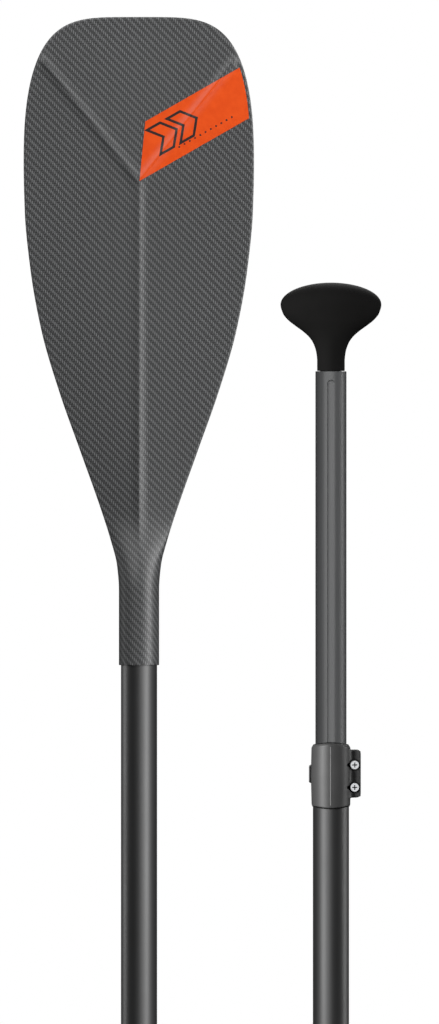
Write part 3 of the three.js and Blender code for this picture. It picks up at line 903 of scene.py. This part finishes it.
def button_leaf():
    """The spring behind the button, which closes up as the button is pressed."""
    height = middle("snap_button")[2]
    thickness, width, bend, foot, radius = 0.8, 7.0, 62, 24, 5.2
    front, rear = -8.5, 10.3
    shift = (rear + front) / 2
    path = [(front, z) for z in np.linspace(foot, height + 8, 9)]
    for turn in np.linspace(math.pi, 0, 25):
        path.append((shift + radius * math.cos(turn), bend - radius + radius * math.sin(turn)))
    path += [(rear, z) for z in np.linspace(bend - 24, foot, 9)]
    path = np.array(path)
    for _ in range(12):
        path[1:-1] = 0.5 * path[1:-1] + 0.25 * (path[2:] + path[:-2])
    ahead = np.gradient(path, axis=0)
    ahead /= np.linalg.norm(ahead, axis=1)[:, None]
    w, t = width / 2, thickness / 2
    section = rectangle(-w, w, -t, t, 0.25, 3)
    sections = [
        [(a + BLADE_X, y - b * dz, z + b * dy) for a, b in section]
        for (y, z), (dy, dz) in zip(path, ahead)
    ]
    obj = sweep("button_leaf", sections)
    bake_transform(obj, "blade_section", "button",
             start=(BLADE_X * MM, rear * MM, height * MM), end=(BLADE_X * MM, front * MM, height * MM))
    place(obj, STEEL, None, ["button_spring"])


def outer_tube():
    top = high("outer_shaft")[2]
    button_height = 35
    profile = tube_profile(SHAFT_INNER, SHAFT_OUTER, 0, top, 0.4, 5)
    tube = lathe("outer_tube", profile, steps=ROUND)
    hole = prism("hole", circle(0, button_height, BUTTON_HOLE), *FRONT_WALL)
    foot, half, over = 446, 1, 2
    slit = rounded([
        (foot, -half, 0.99), (foot, half, 0.99), (top + over, half, 0), (top + over, -half, 0),
    ], 8)
    cut = sweep("slit", [[(x, b, a) for a, b in slit] for x in FRONT_WALL])
    place(combine(tube, [hole, cut]), GLOSS_TUBE, "handle_section", ["outer_shaft"], 30)


def inner_tube():
    """The sliding tube, with a shallow round-ended flute up its front."""
    outer, inner = high("inner_tube")[0], TUBE_BORE
    bottom, top = heights_of("inner_tube")
    half, deep, end = 3.15, 1.0, top - 7.2
    fine = np.concatenate([np.arange(-19, 19.1, 0.7), np.arange(22, 338, 3.6)])
    turns = np.radians(fine)
    heights = np.concatenate([
        [bottom + 0.35], np.arange(bottom + 6, end - 8, 9), np.arange(end - 7, end + 1.5, 0.3),
        [top - 3, top - 0.35],
    ])
    x = outer * np.sin(turns)
    above = np.clip(heights - (end - half), 0, None)[:, None]
    across = np.hypot(x[None, :], above) / half
    front = np.cos(turns)[None, :] > 0
    sink = np.where(front, deep * np.clip(1 - across ** 2, 0, 1) ** 0.6, 0)
    radius = outer - sink
    rim = [(outer - 0.35, top), (inner + 0.2, top), (inner, top - 0.2)]
    rim += [(inner, z) for z in np.linspace(top - 9, bottom + 9, 48)]
    rim += [(inner, bottom + 0.2), (inner + 0.2, bottom), (outer - 0.35, bottom)]
    rows = [
        np.stack([r * np.sin(turns), -r * np.cos(turns), 0 * turns + z], 1)
        for r, z in [*zip(radius, heights), *rim]
    ]
    tube = sweep("sliding_tube", rows, closed=True)
    place(tube, SATIN_TUBE, "slider", ["inner_tube"], 24)


def bushes():
    bottom, top = heights_of("guide_bush")
    inner, outer, flange = 13.1, 13.5, 14.8
    corners = [
        (inner, bottom, 0.1), (outer, bottom, 0.1), (outer, top - 1.4, 0), (flange, top - 1.4, 0.2),
        (flange, top, 0.3), (inner, top, 0.15),
    ]
    bush = lathe("guide_sleeve", spaced(rounded(corners, 3), 6))
    root, crest = (2.75, -13.0), (2.3, -12.2)
    key = rounded([
        (-root[0], root[1], 0.1), (*root, 0.1), (*crest, 0.5), (-crest[0], crest[1], 0.5),
    ], 4)
    combine(bush, [prism("key", key, bottom + 2, top, axis="z")], "UNION")
    place(bush, BLACK_PLASTIC, "handle_section", ["guide_bush"])

    bottom, top = heights_of("glide_bush")
    tube = high("inner_tube")[0]
    seat, sill = tube + 0.2, bottom + 1.5
    corners = [
        (TUBE_BORE, bottom, 0.3), (outer, bottom, 0.5), (outer, top, 0.3), (seat, top, 0.1),
        (seat, sill, 0), (TUBE_BORE, sill, 0.1),
    ]
    glide = lathe("glide_sleeve", spaced(rounded(corners, 3), 6))
    place(glide, BLACK_PLASTIC, "slider", ["glide_bush"])


lower_section()
button()
button_leaf()
outer_tube()
inner_tube()
bushes()
plug("lower_foam_plug", "lower_shaft_plug", "blade_section")
plug("upper_foam_plug", "inner_tube_plug", "slider")


# ---- clamp


SCREW_X = middle("clamp_screw_upper")[0]
SCREW_HEIGHTS = [middle("clamp_screw_upper")[2], middle("clamp_screw_lower")[2]]
PIVOT = middle("barrel_nut")
COLLAR_BOTTOM, COLLAR_TOP = heights_of("clamp_collar")
EAR_RIGHT = high("clamp_collar")[0]
COLLAR_SIDE, COLLAR_BULGE, COLLAR_BOW = 16.2, 16.7, 2.4
CAM_THROW = 0.4


def bowed(obj):
    """obj with the collar's ends drawn up or down at the sides, as the collar's own are."""
    for v in obj.data.vertices:
        x, _, z = np.array(v.co) / MM
        up = (z - COLLAR_BOTTOM) / (COLLAR_TOP - COLLAR_BOTTOM) * 2 - 1
        v.co.z -= up * COLLAR_BOW * (x / COLLAR_BULGE) ** 2 * MM
    return obj


def collar():
    bore, lip_radius, lip_bottom = 15.3, 13.3, COLLAR_TOP - 4.2
    side, bulge, wall = COLLAR_SIDE, COLLAR_BULGE, bore - 3
    corners = [
        (wall, COLLAR_BOTTOM, 0), (side - 0.1, COLLAR_BOTTOM, 0.5),
        (bulge, (COLLAR_BOTTOM + COLLAR_TOP) / 2, 0), (side, COLLAR_TOP - 1.8, 1.0),
        (side - 1.1, COLLAR_TOP, 0.6), (wall, COLLAR_TOP, 0),
    ]
    body = bowed(lathe("clamp_band", spaced(rounded(corners, 4), 1.5), steps=ROUND))
    bottom, top, left, corner, slant = 444.8, 485.5, 2, 3.5, 1.0
    front, rear, split, fillet, foremost = -3.5, 5.5, 0.5, 4.6, -11.5
    side_view = rounded([
        (left, bottom, 0), (EAR_RIGHT, bottom + slant, corner), (EAR_RIGHT, top, corner),
        (left, top, 0),
    ], 8)
    middle_y, reach = front - fillet, bulge + fillet - 0.2
    middle_x = math.sqrt(reach ** 2 - middle_y ** 2)
    first = math.atan2(-middle_y, -middle_x)
    hollow = [
        (middle_x + fillet * math.cos(turn), middle_y + fillet * math.sin(turn))
        for turn in np.linspace(math.pi / 2, first, 12)
    ]
    nose = rounded([(EAR_RIGHT, -split, 0), (EAR_RIGHT, front, 2.0), (middle_x, front, 0)], 8)[:10]
    plan = np.array([(left, -split), *nose.tolist(), *hollow, (left, foremost)])
    ear = prism("ear", plan, bottom - PAST, top + PAST, axis="z")
    combine(ear, [prism("view", side_view, -30, PAST)], "INTERSECT")
    combine(body, [ear, prism("ear", side_view, split, rear)], "UNION")
    slit = np.array([(5, 430), (40, 430), (40, 500), (5, 500)])
    foot = COLLAR_BOTTOM - PAST
    cuts = [
        prism("bore", circle(0, 0, bore, 96), foot, lip_bottom, axis="z"),
        prism("lip", circle(0, 0, lip_radius, 96), foot, COLLAR_TOP + PAST, axis="z"),
        prism("slit", slit, -1, 1),
    ]
    pocket, pocket_deep, shank, drop_deep = 4.5, 0.8, 2.4, 0.4
    drop_tip, drop_root, drop_half = 7, 2.2, 3.8
    for height in SCREW_HEIGHTS:
        root = SCREW_X - drop_root
        drop = np.array([
            (SCREW_X - drop_tip, height), (root, height - drop_half), (root, height + drop_half),
        ])
        cuts += [
            prism("head", circle(SCREW_X, height, pocket), -bulge, front + pocket_deep),
            prism("shank", circle(SCREW_X, height, shank, 32), -bulge, 9),
            prism("drop", drop, -bulge, front + drop_deep),
        ]
    combine(body, cuts)
    softened(body, 0.36, 4)
    place(body, CLAMP_PLASTIC, "handle_section", ["clamp_collar"], 0)


def shade_rings():
    """Thin near-black rings at the collar's foot and top: painted shadow lines where the collar meets the
    tubes.
    """
    high_ring, low_ring = 0.5, 0.8
    for name, bore, bottom, top, reach in (
        ("lower", 15.04, COLLAR_BOTTOM - low_ring, COLLAR_BOTTOM - 0.05, COLLAR_SIDE - 0.5),
        ("upper", 13.1, COLLAR_TOP + 0.05, COLLAR_TOP + high_ring, COLLAR_SIDE - 1.4),
    ):
        profile = tube_profile(bore, reach, bottom, top, 0.15, 0.8)
        obj = bowed(lathe(f"clamp_seal_{name}", profile, steps=ROUND))
        place(obj, SHADE_RING_BLACK, "handle_section", [], 30)


def parting_line():
    """The fine raised line that the mould leaves down the front of the clamp."""
    x, half, crest, proud, root = -0.4, 0.36, 0.12, 0.22, 0.25
    span = COLLAR_TOP - COLLAR_BOTTOM
    sections = []
    for z in np.linspace(COLLAR_BOTTOM + 2.2, COLLAR_TOP - 3.2, 40):
        up = (z - COLLAR_BOTTOM) / span * 2 - 1
        radius = 16.2 + 0.5 * (1 - abs(up)) - 0.05
        y = -math.sqrt(radius ** 2 - x ** 2)
        sections.append([
            (x - half, y + root, z), (x - half, y - 0.02, z), (x - crest, y - proud, z),
            (x + crest, y - proud, z), (x + half, y - 0.02, z), (x + half, y + root, z),
        ])
    place(sweep("clamp_parting_line", sections), CLAMP_LINE, "handle_section", [])


def screws():
    head, head_high, shank = 4.05, 2.4, 2.0
    # The cross at its mouth and floor: depth past the head's face, half length, half width.
    cross_ends = ((-0.5, 2.4, 0.54), (1.9, 0.9, 0.2))
    shade_from, shade_to, shade_radius = 0.06, 2.0, 2.5
    for name, height in zip(("upper", "lower"), SCREW_HEIGHTS):
        node = f"clamp_screw_{name}"
        top, end = -low(node)[1], -high(node)[1]
        seat = top - head_high
        corners = [
            (0, end, 0), (shank, end, 0.3), (shank, seat, 0.2), (head, seat, 0.15),
            (head, top - 0.5, 0.3), (head - 0.5, top, 0.4), (0, top, 0),
        ]
        outline = spaced(rounded(corners, 5), 1.2)
        screw = lathe(f"clamp_bolt_{name}", outline, x=SCREW_X, forward=height, steps=72)
        cross = []
        for turn in (0, math.pi / 2):
            rings = []
            for deep, long, wide in cross_ends:
                flat = [(-long, -wide), (long, -wide), (long, wide), (-long, wide)]
                rings.append([
                    (SCREW_X + a * math.cos(turn) - b * math.sin(turn), -top + deep,
                     height + a * math.sin(turn) + b * math.cos(turn)) for a, b in flat
                ])
            cross.append(sweep("cross", rings))
        place(combine(screw, cross), STEEL, "handle_section", [node], 28)
        # Faces inside the cross, between these depths and within this radius, get the dark metal: painted
        # shade in the recess.
        screw.data.materials.append(RECESS_SHADE)
        for face in screw.data.polygons:
            x, y, z = np.array(face.center) / MM
            sunk = -top + shade_from < y < -top + shade_to
            face.material_index = int(sunk and math.hypot(x - SCREW_X, z - height) < shade_radius)


def pivot_rod(name, radius, length, y=None, lip=0.6, steps=64):
    bottom, top = PIVOT[2] - length / 2, PIVOT[2] + length / 2
    outline = rectangle(0, radius, bottom, top, (0, lip, lip, 0), 4)
    y = PIVOT[1] if y is None else y
    return lathe(name, spaced(outline, 2.5), x=PIVOT[0], y=y, steps=steps)


def barrel_and_pad():
    y = PIVOT[1]
    holes = [prism("hole", circle(SCREW_X, h, 2.3, 32), y - 8, y + 8) for h in SCREW_HEIGHTS]
    nut = combine(pivot_rod("cross_nut", 3.0, 36), holes)
    place(nut, BRASS, "handle_section", ["barrel_nut"], 30)

    (left, front, bottom), (right, rear, top) = low("cam_pad"), high("cam_pad")
    pad = prism("wear_pad", rectangle(left, right, bottom, top, 0.8), front, rear)
    cuts = [prism("hole", circle(SCREW_X, h, 2.4, 32), 0, 12) for h in SCREW_HEIGHTS]
    cuts.append(pivot_rod("seat", 5.3, 60, y - CAM_THROW, 0))
    softened(combine(pad, cuts), 0.3, 3)
    place(pad, BLACK_PLASTIC, "handle_section", ["cam_pad"], 0)


def lever():
    """An eccentric barrel on the nut, and an arm round the collar's back to a finger tab."""
    inner, first, last, rounding, edge = 17.0, 36, 190, 7, 1.6
    height = smooth_curve([(first, 38), (70, 34), (110, 25), (150, 16), (last, 13.5)])
    thick = smooth_curve([(first, 3.4), (110, 2.8), (150, 2.0), (176, 1.3), (last, 1.3)])
    sections = []
    stations = np.concatenate([np.linspace(first, last - 6, 64), np.linspace(last - 5, last, 14)])
    for degrees in stations:
        turn = math.radians(degrees)
        end = max(0.0, (degrees - (last - rounding)) / rounding)
        half = float(height(degrees)) / 2 - edge * (1 - math.sqrt(1 - min(end, 1) ** 2 * 0.98))
        wide = float(thick(degrees))
        band = rectangle(inner, inner + wide, -half, half, 0.3 * wide, 4)
        sections.append([(r * math.cos(turn), r * math.sin(turn), PIVOT[2] + up) for r, up in band])
    arm = sweep("lever_arm", sections)
    handle = pivot_rod("clamp_handle", 5.0, 38, PIVOT[1] - CAM_THROW, 0.8, 72)
    combine(handle, [arm], "UNION")
    cuts = [pivot_rod("bore", 3.3, 60, lip=0)]
    turns = np.radians(np.linspace(-138, 78, 28))
    reach, half_slot = 8, 2.4
    arc = np.stack([PIVOT[0] + reach * np.cos(turns), PIVOT[1] + reach * np.sin(turns)], 1)
    sector = np.concatenate([[PIVOT[:2]], arc])
    cuts += [
        prism("slot", sector, h - half_slot, h + half_slot, axis="z") for h in SCREW_HEIGHTS
    ]
    combine(handle, cuts)
    softened(handle, 0.3, 2)
    place(handle, CLAMP_PLASTIC, "lever", ["clamp_lever"], 0)


collar()
shade_rings()
parting_line()
screws()
barrel_and_pad()
lever()


# ---- grip


GRIP_BOTTOM, GRIP_TOP = heights_of("handle_grip")
GRIP_HALF = high("handle_grip")[0]
CROWN = 18.2
GRIP_DEEP = 15.5
grip_width = smooth_curve([
    (CROWN, GRIP_HALF), (25.6, 39.9), (30.6, 36.1), (35.6, 30), (40.6, 23.1), (45.6, 17.8),
    (50.5, 14.6), (58, 12.2), (65, 11.48), (80, 11.48),
])
grip_depth = smooth_curve([
    (CROWN, GRIP_DEEP), (30.6, 14.6), (40.6, 12.6), (50.5, 11.7), (58, 11.48), (80, 11.48),
])


def grip_rings(sunk, last, crown_rows, side_rows):
    """Rings of the grip's surface, or of one sunk below it, from its crown down."""
    rings = []
    for turn in np.linspace(0.03, math.pi / 2, crown_rows):
        wide, deep = (GRIP_HALF - sunk) * math.sin(turn), (GRIP_DEEP - sunk) * math.sin(turn)
        rings.append(level_ring(wide, deep, GRIP_TOP - CROWN + (CROWN - sunk) * math.cos(turn)))
    for depth in np.linspace(CROWN, last, side_rows)[1:]:
        wide, deep = float(grip_width(depth)) - sunk, float(grip_depth(depth)) - sunk
        rings.append(level_ring(wide, deep, GRIP_TOP - depth))
    return rings


def grip():
    last = GRIP_TOP - GRIP_BOTTOM
    outside = grip_rings(0, last - 0.6, 30, 66)
    inside = grip_rings(2.0, last - 0.2, 10, 24)
    lip = ((11.4, 0.25), (11.1, 0), (9.7, 0))
    lips = [level_ring(r, r, GRIP_BOTTOM + up) for r, up in lip]
    shell = sweep("palm_grip", outside + lips + inside[::-1])
    place(shell, GRIP_RUBBER, "slider", ["handle_grip"], 50)

    seat, neck, stem, deep = high("inner_tube")[2] - 2 * GAP, 8.98, 10.8, 44
    foot = ((neck, seat), (stem, seat), (stem, seat - (deep - 1)), (stem - 1, seat - deep))
    rings = grip_rings(2.5, last, 12, 30) + [level_ring(r, r, z) for r, z in foot]
    place(sweep("grip_insert", rings), BLACK_PLASTIC, "slider", ["handle_core"])


grip()


# ---- stage, lights and camera


def staging():
    """A pale round floor that turns into even white away from the object, and the world."""
    radius, white_from, white_at = 2800, 0.8, 2.6
    n = Nodes("pale_floor")
    x, y, _ = n.split(n.place())
    reach = n.math("POWER", n.plus(n.times(x, x), n.times(y, y)), 0.5)
    n.set(Base_Color=n.mix(n.noise(n.place(), 3.0), grey(0.84), grey(0.88)), Roughness=0.8)
    white = n.ranged(reach, white_from, white_at, kind="SMOOTHSTEP")
    joint = n.add("MixShader", white, n.shader.outputs[0], n.add("Emission").outputs[0])
    n.put(n.tree.nodes["Material Output"].inputs[0], joint.outputs[0])
    ring = level_ring(radius, radius, 0)
    mesh = bpy.data.meshes.new("floor")
    mesh.from_pydata((ring * MM).tolist(), [], [list(range(len(ring)))])
    mesh.materials.append(n.material)
    floor = new_object("floor", mesh)
    floor.visible_diffuse = floor.visible_glossy = floor.visible_transmission = False
    floor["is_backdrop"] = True

    world = bpy.data.worlds.new("studio")
    world.use_nodes = True
    nodes, links = world.node_tree.nodes, world.node_tree.links
    white, dim = nodes["Background"], nodes.new("ShaderNodeBackground")
    white.inputs[0].default_value = dim.inputs[0].default_value = (1, 1, 1, 1)
    dim.inputs[1].default_value = WORLD
    seen = nodes.new("ShaderNodeLightPath").outputs["Is Camera Ray"]
    either = nodes.new("ShaderNodeMixShader")
    for source, socket in zip((seen, dim.outputs[0], white.outputs[0]), either.inputs):
        links.new(source, socket)
    links.new(either.outputs[0], nodes["World Output"].inputs[0])
    bpy.context.scene.world = world
    return floor


def softbox(name, azimuth, elevation, size, power, group, target, distance=2.2):
    a, e = math.radians(azimuth), math.radians(elevation)
    away = Vector((math.sin(a) * math.cos(e), -math.cos(a) * math.cos(e), math.sin(e)))
    data = bpy.data.lights.new(name, "AREA")
    data.shape, data.size, data.size_y, data.energy = "RECTANGLE", size[0], size[1], power
    obj = new_object(name, data)
    obj.location = Vector(target) + away * distance
    obj.rotation_mode = "QUATERNION"
    obj.rotation_quaternion = away.to_track_quat("Z", "Y")
    obj.visible_camera = False
    obj.light_linking.receiver_collection = group


WORLD = 0.012
LIT_HEIGHT = 0.62
TALL = 2.6
BEHIND_LEFT = (190, 50, (1.6, 1.2), 60)
BEHIND_RIGHT = (170, 50, (1.6, 1.2), 60)
# What each group of pieces is lit by: azimuth, elevation, width and height, power.
LIGHTS = {
    "skin": [
        (62, 0, (0.4, TALL), 74), (38, 0, (0.4, TALL), 18), (-30, 40, (1.8, 1.8), 53),
        (-102, 0, (0.4, TALL), 8), BEHIND_LEFT,
    ],
    "lower": [
        (50, 0, (0.5, TALL), 125), (20, 0, (0.6, TALL), 26), (-102, 0, (0.35, TALL), 42),
        BEHIND_LEFT,
    ],
    "upper": [
        (-48, 0, (0.5, TALL), 125), (-18, 0, (0.6, TALL), 28), (99, 0, (0.35, TALL), 50),
        BEHIND_RIGHT,
    ],
    "clamp": [
        (-51, 0, (0.5, TALL), 108), (-30, 0, (0.4, TALL), 12), (92, 0, (0.35, TALL), 34),
        BEHIND_RIGHT,
    ],
    "bolts": [(0, 0, (1.8, 1.8), 13), (-48, 20, (0.8, 1.2), 9), BEHIND_RIGHT],
    "slider": [
        (-38, 0, (0.5, TALL), 26), (0, 0, (1.5, TALL), 38), (92, 0, (0.4, TALL), 25), BEHIND_RIGHT,
    ],
    "grip": [(-40, 10, (1.5, 2.0), 60), (100, 0, (0.5, TALL), 30), BEHIND_RIGHT],
    "ground": [(0, 90, (2.4, 2.4), 150)],
}


def group_of(obj):
    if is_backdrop(obj):
        return "ground"
    if obj.name == "press_button" or obj.name.startswith("clamp_bolt"):
        return "bolts"
    if body_of(obj)[0] in ("blade_section", "button"):
        return "skin" if obj.name.startswith("blade_") else "lower"
    if obj.name in ("palm_grip", "grip_insert"):
        return "grip"
    if obj.name.startswith("clamp_") or obj.name in ("wear_pad", "cross_nut"):
        return "clamp"
    return "slider" if obj.name == "sliding_tube" else "upper"


def lighting(floor):
    groups = {name: bpy.data.collections.new(name) for name in LIGHTS}
    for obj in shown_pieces() + [floor]:
        groups[group_of(obj)].objects.link(obj)
    for name, rows in LIGHTS.items():
        x = BLADE_X * MM if name in ("skin", "lower") else 0
        target = (x, 0, 0.0 if name == "ground" else LIT_HEIGHT)
        for azimuth, elevation, size, power in rows:
            softbox(f"{name}_{azimuth}", azimuth, elevation, size, power, groups[name], target)


def camera():
    """Square on to the paddle, with a long lens for an almost parallel view."""
    lens, sensor, seen_high = 650, 36, 0.8499
    aim_x, aim_z = -0.0925, 0.6826
    data = bpy.data.cameras.new("camera")
    data.lens = lens
    data.sensor_width = sensor
    data.clip_end = 100
    obj = new_object("camera", data)
    obj.location = (aim_x, -seen_high * lens / sensor, aim_z)
    obj.rotation_euler = (math.pi / 2, 0, 0)
    bpy.context.scene.camera = obj


camera()
lighting(staging())
bpy.context.scene.view_settings.view_transform = "Standard"
